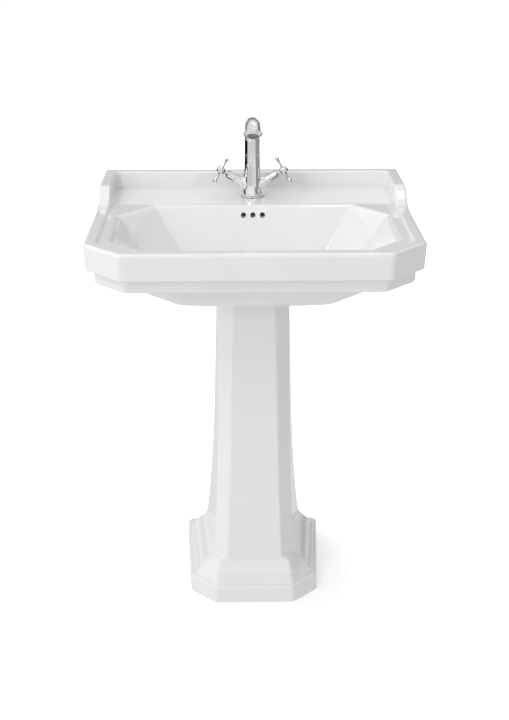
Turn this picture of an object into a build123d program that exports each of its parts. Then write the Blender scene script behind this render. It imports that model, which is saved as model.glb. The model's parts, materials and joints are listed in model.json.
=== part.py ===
from build123d import *
import os
from math import cos, radians, sin, tan

# Pedestal wash basin with a two-handle mixer, pop-up waste and bottle trap.
# Frame: millimetres, +Z up, Z = 0 at the floor, X = 0 on the centre line, the
# wall behind at +Y. Y = 0 is half way between the basin's front and the wall.

# ---------------------------------------------------------------- basin sizes
BASIN_WIDTH = 650.0
BASIN_DEPTH = 545.0
HALF_WIDTH = BASIN_WIDTH / 2
FRONT = -BASIN_DEPTH / 2
BACK = BASIN_DEPTH / 2
CORNER_CUT = 71.0
RIM_TOP = 855.0
DECK_TOP = 850.0
DECK_UNDER = 832.0
BAND_BOTTOM = 801.0
SKIRT_BOTTOM = 773.0
BAND_DRAFT = 3.0
SKIRT_INSET = 18.0
SKIRT_WALL = 14.0
LIP_WIDTH = 24.0
CORNER_ROUND = 16.0
RIM_ROUND = 7.0
LIP_ROUND = 3.0
BAND_FOOT_ROUND = 4.0
SKIRT_FOOT_ROUND = 7.0
LEDGE_CORNER = 8.0
LEDGE_ROUND = 4.0
# Rounding of the bowl's mouth: (depth below the deck, growth of the outline)
MOUTH_ROUND = ((6.0, 0.0), (3.2, 1.1), (1.4, 2.9), (0.4, 5.0), (-0.1, 7.5))

SPLASH_TOP = 888.0
SPLASH_THICK = 25.0
UPSTAND_THICK = 25.0
UPSTAND_LEVEL_START = FRONT + 402.0
UPSTAND_FOOT = FRONT + 339.0
UPSTAND_TAIL = FRONT + 318.0

# ---------------------------------------------------------------- bowl sizes
BOWL_MOUTH_HALF = 279.0
BOWL_FRONT = FRONT + 46.0
BOWL_REAR = FRONT + 371.0
KNEE_Z = 742.0
FLOOR_Z = 703.0
UNDERSIDE_Z = 679.0
CHINA_WALL = 15.0
MOUTH_ABOVE_DECK = 4.0
UNDERSIDE_ROUND = 38.0
DRAIN_Y = FRONT + 262.0
DRAIN_BORE_R = 23.5
OVERFLOW_R = 5.6
OVERFLOW_PITCH = 20.0
OVERFLOW_Z = 831.0
OVERFLOW_WIDTH = 56.0
OVERFLOW_WALL = 9.0
TAP_HOLE_R = 17.5
TAP_Y = FRONT + 455.0
WALL_HOLE_R = 8.0
WALL_HOLE_SPACING = 280.0
WALL_HOLE_Z = 806.0

# ------------------------------------------------------------ pedestal sizes
PEDESTAL_TOP = 676.0
PEDESTAL_WALL = 13.0
SHAFT_ROUND = 7.0
PLINTH_BAND = 40.0
PLINTH_CORNER = 15.0
# Soft courses above the band: (height, front inset, side inset, back inset, corner rounding)
PLINTH_COURSES = (
    (37.0, 7.0, 7.0, 18.0, 14.0),
    (42.0, 8.5, 9.0, 24.0, 14.0),
    (49.0, 10.5, 12.5, 27.0, 13.0),
    (53.0, 13.5, 17.0, 30.0, 12.0),
    (56.0, 15.5, 20.0, 36.0, 12.0),
    (63.0, 17.0, 22.5, 40.0, 11.0),
    (68.0, 19.0, 27.0, 43.0, 10.0),
    (78.0, 24.0, 38.0, 46.0, 9.0),
    (88.0, 27.5, 46.0, 47.5, 8.0),
)

# ----------------------------------------------------------------- tap sizes
COLUMN_Y = TAP_Y - 6.0
COLUMN_R = 16.0
COLUMN_TOP = 976.0
RING_TOP = DECK_TOP + 4.5
ARM_RISE = 30.5
ARM_FOOT_Z = 868.0
ARM_END = 42.0
BONNET_END = 62.0
HUB_AT = 78.0
HUB_R = 7.6
SPOKE_REACH = 27.0
SPOUT_R = 16.4
SPOUT_BORE_R = 11.0
SPOUT_SEAM = 0.4
SPIGOT_R = 11.95
COLUMN_BORE_R = 12.0
REAR_BEND_R = 34.0
REAR_BEND = 84.0
FRONT_BEND_R = 20.0
FRONT_BEND = 59.0
SPOUT_RUN = 44.0
INLET_R = 4.5
INLET_X = 6.2
STUD_R = 3.0
STUD_CLEAR_R = 3.3
STUD_Y = TAP_Y - 9.5
INLET_Y = TAP_Y + 1.0

# --------------------------------------------------------------- waste sizes
LEVER_PIVOT_Y = DRAIN_Y + 28.0
LEVER_PIVOT_Z = 640.0
LEVER_TILT = 6.1
LEVER_R = 2.0
ROD_Y = TAP_Y + 14.5
ROD_R = 2.2
ROD_OFFSET = 8.0
STRAP_Y = ROD_Y + 6.0
PLUG_LIFT = 6.0
OUTLET_Z = 540.0
PIPE_R = 16.0
PIPE_BORE_R = 14.8
STEM_R = 15.6
PIPE_END = 200.0

os.makedirs("parts", exist_ok=True)


def save(piece, name):
    """Label one finished piece and write it as its own STEP file."""
    piece.part.label = name
    export_step(piece.part, f"parts/{name}.step")


def in_front_of_wall(edge):
    """True for an edge that is clear of the basin's back plane."""
    return (edge @ 0.5).Y < BACK - 5


def basin_outline(inset):
    """Corner points of the basin's plan: square at the wall, cut off at both front corners."""
    side = HALF_WIDTH - inset
    front = FRONT + inset
    cut = CORNER_CUT - inset * (2 - 2**0.5)
    return [
        (-side, BACK),
        (-side, front + cut),
        (-side + cut, front),
        (side - cut, front),
        (side, front + cut),
        (side, BACK),
    ]


def bowl_outline(half, front, rear, front_half, rear_half, side_front, side_rear):
    """Eight corner points of the bowl's plan at one level."""
    return [
        (-front_half, front),
        (front_half, front),
        (half, side_front),
        (half, side_rear),
        (rear_half, rear),
        (-rear_half, rear),
        (-half, side_rear),
        (-half, side_front),
    ]


def bowl_levels(wall):
    """The bowl's plan at its mouth, knee and floor, grown outwards and down by a wall thickness."""
    mouth = bowl_outline(
        BOWL_MOUTH_HALF + wall,
        BOWL_FRONT - wall,
        BOWL_REAR + wall,
        219.0 + wall / 2,
        210.0 + wall / 2,
        FRONT + 106.0,
        FRONT + 290.0,
    )
    knee = bowl_outline(
        199.0 + wall,
        FRONT + 100.0 - wall,
        FRONT + 313.0 + wall,
        142.0 + wall / 2,
        140.0 + wall / 2,
        FRONT + 157.0 - wall / 2,
        FRONT + 241.0 + wall / 2,
    )
    floor = bowl_outline(
        78.0 + wall,
        FRONT + 222.0 - wall,
        FRONT + 303.0 + wall,
        52.0 + wall / 2,
        52.0 + wall / 2,
        FRONT + 244.0 - wall / 2,
        FRONT + 282.0 + wall / 2,
    )
    return mouth, knee, floor


def polygon_at(points, height, corner_round):
    """A closed, round-cornered outline on a level plane."""
    with BuildSketch(Plane.XY.offset(height)) as outline:
        with BuildLine():
            Polyline(*points, close=True)
        make_face()
        if corner_round:
            fillet(outline.vertices(), corner_round)
    return outline.sketch


def bowl_form(wall, top, knee_z, floor_z, knee_round):
    """The bowl as a solid: planar facets down to the knee, then a shallow dish."""
    mouth, knee, floor = bowl_levels(wall)
    with BuildPart() as form:
        loft([polygon_at(mouth, top, 0).face(), polygon_at(knee, knee_z, 0).face()], ruled=True)
        loft([polygon_at(knee, knee_z, 0).face(), polygon_at(floor, floor_z, 0).face()], ruled=True)
        creases = form.edges().filter_by(lambda edge: edge.length > 5)
        upright = [e for e in creases if abs((e @ 0).Z - (e @ 1).Z) > 1]
        level = [e for e in creases if abs((e @ 0).Z - knee_z) < 1 and abs((e @ 1).Z - knee_z) < 1]
        fillet(upright + level, knee_round)
    return form.part


def mouth_outline(growth, height):
    """The bowl's plan at a height between its knee and its mouth, grown outwards."""
    mouth, knee, floor = bowl_levels(growth)
    share = (height - KNEE_Z) / (DECK_TOP + MOUTH_ABOVE_DECK - KNEE_Z)
    return [(k[0] + share * (m[0] - k[0]), k[1] + share * (m[1] - k[1])) for m, k in zip(mouth, knee)]


def mouth_flare():
    """The wedge of china that the rounded edge of the bowl's mouth takes away."""
    with BuildPart() as flare:
        for (low_depth, low_growth), (high_depth, high_growth) in zip(MOUTH_ROUND, MOUTH_ROUND[1:]):
            low_z = DECK_TOP - low_depth
            high_z = DECK_TOP - high_depth
            loft(
                [
                    polygon_at(mouth_outline(low_growth, low_z), low_z, 0).face(),
                    polygon_at(mouth_outline(high_growth, high_z), high_z, 0).face(),
                ],
                ruled=True,
            )
    return flare.part


# ===================================================================== basin
def make_band():
    """Rim band with a slight draft and a raised lip around the sunk deck."""
    with BuildPart() as band:
        loft(
            [
                polygon_at(basin_outline(BAND_DRAFT), BAND_BOTTOM, 0).face(),
                polygon_at(basin_outline(0), RIM_TOP, 0).face(),
            ],
            ruled=True,
        )
        corners = [e for e in band.edges() if abs((e @ 0).Z - (e @ 1).Z) > 20 and (e @ 0).Y < BACK - 1]
        fillet(corners, CORNER_ROUND)
        fillet(band.faces().sort_by(Axis.Z)[-1].edges().filter_by(in_front_of_wall), RIM_ROUND)
        fillet(band.faces().sort_by(Axis.Z)[0].edges().filter_by(in_front_of_wall), BAND_FOOT_ROUND)
    with BuildPart() as ledge:
        with BuildSketch(Plane.XY.offset(DECK_TOP)) as inside:
            with BuildLine():
                points = basin_outline(LIP_WIDTH)
                points[0] = (points[0][0], BACK - SPLASH_THICK)
                points[-1] = (points[-1][0], BACK - SPLASH_THICK)
                Polyline(*points, close=True)
            make_face()
            fillet(inside.vertices(), LEDGE_CORNER)
        extrude(amount=RIM_TOP)
        fillet(ledge.faces().sort_by(Axis.Z)[0].edges(), LEDGE_ROUND)
    with BuildPart() as lipped:
        add(band.part)
        add(ledge.part, mode=Mode.SUBTRACT)
        lip = lipped.faces().filter_by(Axis.Z).sort_by(Axis.Z)[-1]
        fillet(lip.inner_wires()[0].edges(), LIP_ROUND)
    return lipped.part


def make_skirt():
    """The set-back second step under the band."""
    with BuildPart() as skirt:
        with BuildSketch(Plane.XY.offset(SKIRT_BOTTOM)) as plan:
            with BuildLine():
                Polyline(*basin_outline(SKIRT_INSET), close=True)
            make_face()
            fillet(plan.vertices().filter_by(lambda v: v.Y < BACK - 1), CORNER_ROUND)
        extrude(amount=BAND_BOTTOM - SKIRT_BOTTOM + 6)
        fillet(skirt.faces().sort_by(Axis.Z)[0].edges().filter_by(in_front_of_wall), SKIRT_FOOT_ROUND)
    return skirt.part


def make_underside_hollow():
    """The space under the deck, inside the skirt."""
    with BuildPart() as hollow:
        with BuildSketch(Plane.XY.offset(SKIRT_BOTTOM - 5)) as inside:
            with BuildLine():
                points = basin_outline(SKIRT_INSET + SKIRT_WALL)
                points[0] = (points[0][0], BACK - SKIRT_INSET)
                points[-1] = (points[-1][0], BACK - SKIRT_INSET)
                Polyline(*points, close=True)
            make_face()
            fillet(inside.vertices(), CORNER_ROUND)
        extrude(amount=DECK_UNDER - SKIRT_BOTTOM + 5)
        fillet(hollow.faces().sort_by(Axis.Z)[-1].edges(), 7)
    return hollow.part


def is_crown_edge(edge):
    """True for the long upper edges of the splash and its upstands, away from the wall."""
    middle = edge @ 0.5
    if middle.Z < RIM_TOP + 4 or middle.Y > BACK - 1 or edge.length < 20:
        return False
    upright = edge.geom_type == GeomType.LINE and abs((edge @ 0).Z - (edge @ 1).Z) > 10
    return not upright


def make_splash():
    """Backsplash and side upstands: one side profile, swept down to the rim in an S."""
    with BuildPart() as splash:
        with BuildSketch(Plane.YZ):
            with BuildLine():
                level = Line((BACK, SPLASH_TOP), (UPSTAND_LEVEL_START, SPLASH_TOP - 1))
                sweep_down = Spline(
                    level @ 1,
                    (UPSTAND_FOOT + 34, RIM_TOP + 21),
                    (UPSTAND_FOOT + 8, RIM_TOP + 5),
                    (UPSTAND_TAIL, RIM_TOP - 0.3),
                    tangents=[(-1, -0.02), (-1, -0.06)],
                )
                Polyline(sweep_down @ 1, (UPSTAND_TAIL, DECK_TOP - 6), (BACK, DECK_TOP - 6), level @ 0)
            make_face()
        extrude(amount=HALF_WIDTH, both=True)
        fillet(splash.edges().filter_by(Axis.Z).filter_by(lambda e: (e @ 0.5).Y > BACK - 1), 4)
        with BuildSketch(Plane.XY.offset(DECK_TOP - 10)):
            with Locations((0, BACK - SPLASH_THICK - 150)):
                RectangleRounded(2 * (HALF_WIDTH - UPSTAND_THICK), 300, 14)
        extrude(amount=60, mode=Mode.SUBTRACT)
        fillet([e for e in splash.edges() if is_crown_edge(e)], 5)
    return splash.part


def overflow_run(grow):
    """Side outline of the overflow passage, from behind the three holes down to the drain."""
    return [
        (FRONT + 382 - grow, OVERFLOW_Z + 6 + min(grow, 2)),
        (FRONT + 398 + grow, OVERFLOW_Z + 6 + min(grow, 2)),
        (FRONT + 398 + grow, 806),
        (FRONT + 340 + grow, 706 - grow / 2),
        (FRONT + 318 + grow, 685.5 - grow / 2),
        (DRAIN_Y, 685.5 - grow / 2),
        (DRAIN_Y, 695.5),
        (FRONT + 312 - grow, 695.5),
        (FRONT + 327 - grow, 716),
    ]


def overflow_solid(grow, width):
    """The overflow passage, or the rib around it, as a solid of a given width."""
    with BuildPart() as run:
        with BuildSketch(Plane.YZ):
            with BuildLine():
                Polyline(*overflow_run(grow), close=True)
            make_face()
        extrude(amount=width / 2, both=True)
    return run.part


with BuildPart() as basin:
    add(make_band())
    add(make_skirt())
    add(make_underside_hollow(), mode=Mode.SUBTRACT)
    add(bowl_form(CHINA_WALL, DECK_TOP - 8, KNEE_Z - CHINA_WALL, UNDERSIDE_Z, UNDERSIDE_ROUND))
    add(overflow_solid(OVERFLOW_WALL, OVERFLOW_WIDTH + 2 * OVERFLOW_WALL))
    add(make_splash())
    add(bowl_form(0, DECK_TOP + MOUTH_ABOVE_DECK, KNEE_Z, FLOOR_Z, 10), mode=Mode.SUBTRACT)
    add(mouth_flare(), mode=Mode.SUBTRACT)
    add(overflow_solid(0, OVERFLOW_WIDTH), mode=Mode.SUBTRACT)
    # Three overflow holes through the bowl's rear wall
    with Locations(Plane.XZ.offset(-(FRONT + 350))):
        with Locations(*[(k * OVERFLOW_PITCH, OVERFLOW_Z) for k in (-1, 0, 1)]):
            Cylinder(OVERFLOW_R, 36, align=(Align.CENTER, Align.CENTER, Align.MAX), mode=Mode.SUBTRACT)
    # Drain, tap hole and the two wall-bolt holes
    with Locations((0, DRAIN_Y, UNDERSIDE_Z - 5)):
        Cylinder(DRAIN_BORE_R, 60, align=(Align.CENTER, Align.CENTER, Align.MIN), mode=Mode.SUBTRACT)
    with Locations((0, TAP_Y, DECK_UNDER - 12)):
        Cylinder(TAP_HOLE_R, 40, align=(Align.CENTER, Align.CENTER, Align.MIN), mode=Mode.SUBTRACT)
    with Locations(Plane.XZ.offset(-BACK + 40)):
        with Locations((-WALL_HOLE_SPACING / 2, WALL_HOLE_Z), (WALL_HOLE_SPACING / 2, WALL_HOLE_Z)):
            Cylinder(WALL_HOLE_R, 60, align=(Align.CENTER, Align.CENTER, Align.MAX), mode=Mode.SUBTRACT)
save(basin, "basin")


# ================================================================== pedestal
def shaft_outline(front, front_half, cut_x, cut_y, back_x, back_y):
    """Six corner points of the pedestal's plan, all distances from the basin's front."""
    return [
        (-back_x, FRONT + back_y),
        (-cut_x, FRONT + cut_y),
        (-front_half, FRONT + front),
        (front_half, FRONT + front),
        (cut_x, FRONT + cut_y),
        (back_x, FRONT + back_y),
    ]


def shaft_stations():
    """The shaft's plan from its top to its foot: a gentle concave flare."""
    return [
        (PEDESTAL_TOP, shaft_outline(215, 43.5, 72.5, 241, 79, 372)),
        (415, shaft_outline(208, 50, 77, 236, 87, 392)),
        (230, shaft_outline(201, 55, 82, 230, 96, 408)),
        (98, shaft_outline(193, 60, 88.5, 224, 108, 424)),
    ]


def plinth_outline(inset_front, inset_side, inset_back):
    """The plinth's plan with its front, sides and back set in by three amounts."""
    return shaft_outline(
        163 + inset_front,
        86 - inset_front * 0.25,
        141 - inset_side,
        215 + inset_front * 0.6,
        157 - inset_side,
        472 - inset_back,
    )


def inner_outline(points, wall, reach):
    """An outline moved in by the wall thickness and carried out through the open back."""
    back, cut, face = points[3:][::-1]
    slope = (back[0] - cut[0]) / (back[1] - cut[1])
    end = (back[0] - wall + slope * reach, back[1] + reach)
    right = [
        (face[0] - wall * 0.42, face[1] + wall),
        (cut[0] - wall, cut[1] + wall * 0.42),
        end,
    ]
    left = [(-x, y) for x, y in reversed(right)]
    return left + right


with BuildPart() as pedestal:
    # Eight-sided shaft, open at the back
    loft([polygon_at(points, z, SHAFT_ROUND).face() for z, points in shaft_stations()])
    # Plinth: plain band with a quarter-round shoulder, then soft courses up to the shaft
    loft(
        [
            polygon_at(plinth_outline(0, 0, 0), 0, PLINTH_CORNER).face(),
            polygon_at(plinth_outline(1, 1, 0), PLINTH_BAND, PLINTH_CORNER).face(),
        ],
        ruled=True,
    )
    shoulder = pedestal.faces().filter_by(Axis.Z).group_by(Axis.Z)[1].edges()
    fillet(shoulder.filter_by(lambda edge: (edge @ 0.5).Y < FRONT + 470), 7)
    courses = [
        polygon_at(plinth_outline(front, side, back), z, corner).face()
        for z, front, side, back, corner in PLINTH_COURSES
    ]
    courses.append(polygon_at(shaft_stations()[-1][1], 99, SHAFT_ROUND).face())
    loft(courses, ruled=True)
    # Hollow inside, open at the back, top and foot
    inner_stations = [(PEDESTAL_TOP + 5, shaft_stations()[0][1])]
    inner_stations += shaft_stations()[1:]
    inner_stations += [(-5, shaft_outline(178, 68, 108, 226, 128, 440))]
    loft(
        [
            polygon_at(inner_outline(points, PEDESTAL_WALL, 90), z, 4).face()
            for z, points in inner_stations
        ],
        ruled=True,
        mode=Mode.SUBTRACT,
    )
save(pedestal, "pedestal")

# Rubber pads that the basin sits on
with BuildPart() as pedestal_pads:
    with BuildSketch(Plane.XY.offset(PEDESTAL_TOP)):
        with Locations((0, FRONT + 221.5)):
            RectangleRounded(60, 8, 2)
        for side in (-1, 1):
            with Locations(Location((side * 68.5, FRONT + 275, 0), (0, 0, side * -2.9))):
                RectangleRounded(8, 34, 2)
    extrude(amount=UNDERSIDE_Z - PEDESTAL_TOP)
save(pedestal_pads, "pedestal_pads")


# ============================================================ turned pieces
def turned(profile, y, x=0.0):
    """A solid of revolution about a vertical axis, from (radius, height) points."""
    with BuildPart() as piece:
        with BuildSketch(Plane(origin=(x, y, 0), x_dir=(1, 0, 0), z_dir=(0, -1, 0))):
            with BuildLine():
                Polyline(*profile, close=True)
            make_face()
        revolve(axis=Axis((x, y, 0), (0, 0, 1)))
    return piece.part


def turned_along(profile, plane):
    """A solid of revolution about a plane's normal, from (radius, distance) points."""
    with BuildPart() as piece:
        with BuildSketch(Plane(origin=plane.origin, x_dir=plane.x_dir, z_dir=-plane.y_dir)):
            with BuildLine():
                Polyline(*profile, close=True)
            make_face()
        revolve(axis=Axis(plane.origin, plane.z_dir))
    return piece.part


def save_solid(solid, name):
    """Wrap a finished solid as a part and write it."""
    with BuildPart() as piece:
        add(solid)
    save(piece, name)


def ring(inner, outer, low, high, y=DRAIN_Y):
    """A plain ring about a vertical axis."""
    return turned([(inner, low), (outer, low), (outer, high), (inner, high)], y)


# ===================================================================== waste
FLANGE_LOW = FLOOR_Z + 2.0
FLANGE_HIGH = FLOOR_Z + 5.0
WASTE_FOOT = 606.0

save_solid(ring(22.5, 29.5, FLOOR_Z, FLANGE_LOW), "waste_flange_seal")
save_solid(
    turned(
        [
            (19.0, FLOOR_Z - 6),
            (20.5, FLOOR_Z - 6),
            (20.5, FLOOR_Z - 1),
            (21.4, FLANGE_LOW),
            (31.0, FLANGE_LOW),
            (31.5, FLANGE_LOW + 1),
            (29.0, FLANGE_HIGH - 0.6),
            (25.0, FLANGE_HIGH),
            (20.4, FLANGE_HIGH),
            (19.0, FLANGE_HIGH - 2),
        ],
        DRAIN_Y,
    ),
    "waste_flange",
)
save_solid(ring(21.8, 30.0, UNDERSIDE_Z - 3.5, UNDERSIDE_Z), "waste_gasket")

with BuildPart() as waste_locknut:
    with BuildSketch(Plane.XY.offset(UNDERSIDE_Z - 12.5)):
        with Locations((0, DRAIN_Y)):
            Circle(27)
            RegularPolygon(30, 8)
            Circle(21.7, mode=Mode.SUBTRACT)
    extrude(amount=9)
    chamfer(waste_locknut.edges().group_by(Axis.Z)[0].filter_by(GeomType.LINE), 1)
save(waste_locknut, "waste_locknut")

with BuildPart() as waste_body:
    add(
        turned(
            [
                (20.6, FLOOR_Z - 2),
                (21.5, FLOOR_Z - 2),
                (21.5, WASTE_FOOT + 4),
                (20.0, WASTE_FOOT),
                (PIPE_R + 0.1, WASTE_FOOT),
                (PIPE_R + 0.1, WASTE_FOOT + 6),
                (18.4, WASTE_FOOT + 10),
                (18.4, FLOOR_Z - 22),
                (20.6, FLOOR_Z - 19),
            ],
            DRAIN_Y,
        )
    )
    # Side port that holds the lever's ball
    with Locations(Plane(origin=(0, DRAIN_Y + 19, LEVER_PIVOT_Z), z_dir=(0, 1, 0))):
        Cylinder(10, 14, align=(Align.CENTER, Align.CENTER, Align.MIN))
        Cylinder(6.4, 40, mode=Mode.SUBTRACT)
    # Slots that take the overflow's water
    with Locations((0, DRAIN_Y, FLOOR_Z - 13)):
        Box(12, 60, 10, mode=Mode.SUBTRACT)
save(waste_body, "waste_body")

with BuildPart() as pivot_nut:
    with BuildSketch(Plane(origin=(0, DRAIN_Y + 33, LEVER_PIVOT_Z), z_dir=(0, 1, 0))):
        RegularPolygon(12.5, 6)
        Circle(4.4, mode=Mode.SUBTRACT)
    extrude(amount=8)
    chamfer(pivot_nut.edges().group_by(Axis.Y)[-1].filter_by(GeomType.LINE), 1.2)
save(pivot_nut, "pivot_nut")

PLUG_REST = FLANGE_HIGH + PLUG_LIFT
EYE_Z = LEVER_PIVOT_Z + (LEVER_PIVOT_Y - DRAIN_Y) * tan(radians(LEVER_TILT))
with BuildPart() as plug:
    add(
        turned(
            [
                (0, EYE_Z - 9),
                (5.5, EYE_Z - 9),
                (5.5, EYE_Z + 8),
                (3.5, EYE_Z + 13),
                (3.5, PLUG_REST - 14),
                (14.0, PLUG_REST - 10),
                (14.0, PLUG_REST - 7),
                (15.6, PLUG_REST - 7),
                (15.6, PLUG_REST - 5),
                (18.3, PLUG_REST - 4),
                (18.3, PLUG_REST - 1.2),
                (14.0, PLUG_REST),
                (0, PLUG_REST + 0.8),
            ],
            DRAIN_Y,
        )
    )
    with Locations((0, DRAIN_Y, EYE_Z)):
        Box(5.6, 30, 6.8, mode=Mode.SUBTRACT)
save(plug, "plug")
save_solid(ring(14.1, 18.4, PLUG_REST - 9.5, PLUG_REST - 7.1), "plug_seal")

lever_plane = Plane(
    origin=(0, LEVER_PIVOT_Y, LEVER_PIVOT_Z),
    x_dir=(1, 0, 0),
    z_dir=(0, cos(radians(LEVER_TILT)), -sin(radians(LEVER_TILT))),
)
with BuildPart() as lever_rod:
    with Locations(lever_plane):
        Sphere(6)
        with Locations((0, 0, -31)):
            Cylinder(LEVER_R, STRAP_Y - LEVER_PIVOT_Y + 45, align=(Align.CENTER, Align.CENTER, Align.MIN))
save(lever_rod, "lever_rod")

LEVER_AT_STRAP_Z = LEVER_PIVOT_Z - (STRAP_Y - LEVER_PIVOT_Y) * tan(radians(LEVER_TILT))
CLAMP_Z = 738.0
with BuildPart() as lift_strap:
    with BuildSketch(Plane(origin=(0, STRAP_Y - 0.8, 0), x_dir=(1, 0, 0), z_dir=(0, -1, 0))) as strap_face:
        with BuildLine():
            Polyline(
                (-6, LEVER_AT_STRAP_Z - 18),
                (6, LEVER_AT_STRAP_Z - 18),
                (6, CLAMP_Z + 12),
                (-6, CLAMP_Z + 12),
                close=True,
            )
        make_face()
        fillet(strap_face.vertices().group_by(Axis.Z)[0], 4)
        with Locations((0, LEVER_AT_STRAP_Z)):
            Rectangle(5.2, 7.4, mode=Mode.SUBTRACT)
        with Locations(*[(0, LEVER_AT_STRAP_Z + 18 * k) for k in range(1, 6)]):
            Circle(2.6, mode=Mode.SUBTRACT)
    extrude(amount=-1.6)
    with Locations((0, ROD_Y, CLAMP_Z)):
        Box(12, 10.5, 12, align=(Align.CENTER, Align.CENTER, Align.MIN))
        Cylinder(ROD_R + 0.05, 40, mode=Mode.SUBTRACT)
    with Locations(Plane(origin=(0, ROD_Y, CLAMP_Z + 6), z_dir=(1, 0, 0))):
        Cylinder(2.0, 10, align=(Align.CENTER, Align.CENTER, Align.MIN), mode=Mode.SUBTRACT)
save(lift_strap, "lift_strap")

with BuildPart() as strap_screw:
    with Locations(Plane(origin=(ROD_R + 0.2, ROD_Y, CLAMP_Z + 6), z_dir=(1, 0, 0))):
        Cylinder(1.95, 9, align=(Align.CENTER, Align.CENTER, Align.MIN))
        with Locations((0, 0, 6)):
            Cylinder(4.6, 6, align=(Align.CENTER, Align.CENTER, Align.MIN))
            with PolarLocations(4.8, 12):
                Cylinder(0.6, 6, align=(Align.CENTER, Align.CENTER, Align.MIN), mode=Mode.SUBTRACT)
save(strap_screw, "strap_screw")

ROD_BEND_Z = 886.0
KNOB_Z = 918.0
with BuildPart() as lift_rod:
    with BuildLine(Plane.YZ):
        FilletPolyline(
            (ROD_Y, CLAMP_Z - 6),
            (ROD_Y, ROD_BEND_Z),
            (ROD_Y + ROD_OFFSET, ROD_BEND_Z + 16),
            (ROD_Y + ROD_OFFSET, KNOB_Z + 3),
            radius=9,
        )
    with BuildSketch(Plane.XY.offset(CLAMP_Z - 6)):
        with Locations((0, ROD_Y)):
            Circle(ROD_R)
    sweep()
save(lift_rod, "lift_rod")

save_solid(
    turned(
        [
            (ROD_R + 0.05, KNOB_Z - 2),
            (3.4, KNOB_Z - 2),
            (3.8, KNOB_Z + 1),
            (5.6, KNOB_Z + 4),
            (6.4, KNOB_Z + 7),
            (5.6, KNOB_Z + 10),
            (3.4, KNOB_Z + 12),
            (0, KNOB_Z + 12.6),
            (0, KNOB_Z + 3.05),
            (ROD_R + 0.05, KNOB_Z + 3.05),
        ],
        ROD_Y + ROD_OFFSET,
    ),
    "lift_knob",
)

# ====================================================================== trap
CAP_TOP = 560.0
CAP_LOW = 514.0
CUP_LOW = 436.0
save_solid(ring(PIPE_BORE_R, PIPE_R, CAP_TOP + 4, WASTE_FOOT + 16), "tailpiece")
save_solid(ring(PIPE_R + 0.1, 19.6, CAP_TOP + 8, CAP_TOP + 12), "trap_inlet_seal")


def union_nut(plane, across, bore, length):
    """A round-shouldered eight-sided union nut along a plane's normal."""
    with BuildPart() as nut:
        with BuildSketch(plane):
            RegularPolygon(across, 8)
            Circle(bore, mode=Mode.SUBTRACT)
        extrude(amount=length)
        for face in nut.faces().filter_by(GeomType.PLANE).sort_by(SortBy.AREA)[-2:]:
            chamfer(face.edges().filter_by(GeomType.LINE), 1.2)
    return nut.part


with BuildPart() as trap_inlet_nut:
    add(union_nut(Plane.XY.offset(CAP_TOP + 12).move(Location((0, DRAIN_Y, 0))), 25, PIPE_R + 0.3, 9))
save(trap_inlet_nut, "trap_inlet_nut")

outlet_plane = Plane(origin=(0, DRAIN_Y, OUTLET_Z), z_dir=(0, 1, 0))
with BuildPart() as trap_body:
    add(
        turned(
            [
                (PIPE_BORE_R - 3, CUP_LOW + 22),
                (PIPE_BORE_R - 1.5, CUP_LOW + 22),
                (PIPE_BORE_R - 1.5, CAP_TOP - 4),
                (27.5, CAP_TOP - 6),
                (27.5, CAP_LOW),
                (30.5, CAP_LOW),
                (30.5, CAP_TOP - 5),
                (26.5, CAP_TOP),
                (22.5, CAP_TOP + 1),
                (22.5, CAP_TOP + 12),
                (19.7, CAP_TOP + 12),
                (19.7, CAP_TOP + 8),
                (PIPE_R + 0.1, CAP_TOP + 8),
                (PIPE_R + 0.1, CAP_TOP + 2),
                (PIPE_BORE_R - 3, CAP_TOP + 2),
            ],
            DRAIN_Y,
        )
    )
    with Locations(outlet_plane):
        with Locations((0, 0, 28.5)):
            Cylinder(22, 21.5, align=(Align.CENTER, Align.CENTER, Align.MIN))
        with Locations((0, 0, 26)):
            Cylinder(STEM_R + 0.1, 30, align=(Align.CENTER, Align.CENTER, Align.MIN), mode=Mode.SUBTRACT)
        with Locations((0, 0, 46)):
            Cylinder(19.7, 10, align=(Align.CENTER, Align.CENTER, Align.MIN), mode=Mode.SUBTRACT)
save(trap_body, "trap_body")

with BuildPart() as trap_cup:
    add(
        turned(
            [
                (0, CUP_LOW),
                (22, CUP_LOW),
                (29, CUP_LOW + 7),
                (30, CAP_LOW - 22),
                (32, CAP_LOW - 20),
                (32, CAP_LOW - 2),
                (28, CAP_LOW - 2),
                (27, CUP_LOW + 9),
                (21, CUP_LOW + 3),
                (0, CUP_LOW + 3),
            ],
            DRAIN_Y,
        )
    )
    with Locations((0, DRAIN_Y, CAP_LOW - 19)):
        with PolarLocations(32.4, 18):
            Cylinder(1.8, 18, align=(Align.CENTER, Align.CENTER, Align.MIN), mode=Mode.SUBTRACT)
save(trap_cup, "trap_cup")
save_solid(ring(27.6, 30.4, CAP_LOW - 2, CAP_LOW), "trap_cup_seal")

save_solid(
    turned_along([(STEM_R + 0.1, 46), (19.6, 46), (19.6, 50), (STEM_R + 0.1, 50)], outlet_plane),
    "trap_outlet_seal",
)
with BuildPart() as trap_outlet_nut:
    add(union_nut(outlet_plane.offset(50), 25, PIPE_R + 0.3, 10))
save(trap_outlet_nut, "trap_outlet_nut")
pipe_end = BACK - DRAIN_Y
save_solid(
    turned_along(
        [
            (PIPE_BORE_R, 30),
            (STEM_R, 30),
            (STEM_R, pipe_end - PIPE_END - 0.4),
            (PIPE_R, pipe_end - PIPE_END),
            (PIPE_R, pipe_end),
            (PIPE_BORE_R, pipe_end),
        ],
        outlet_plane,
    ),
    "trap_outlet_pipe",
)

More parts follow.
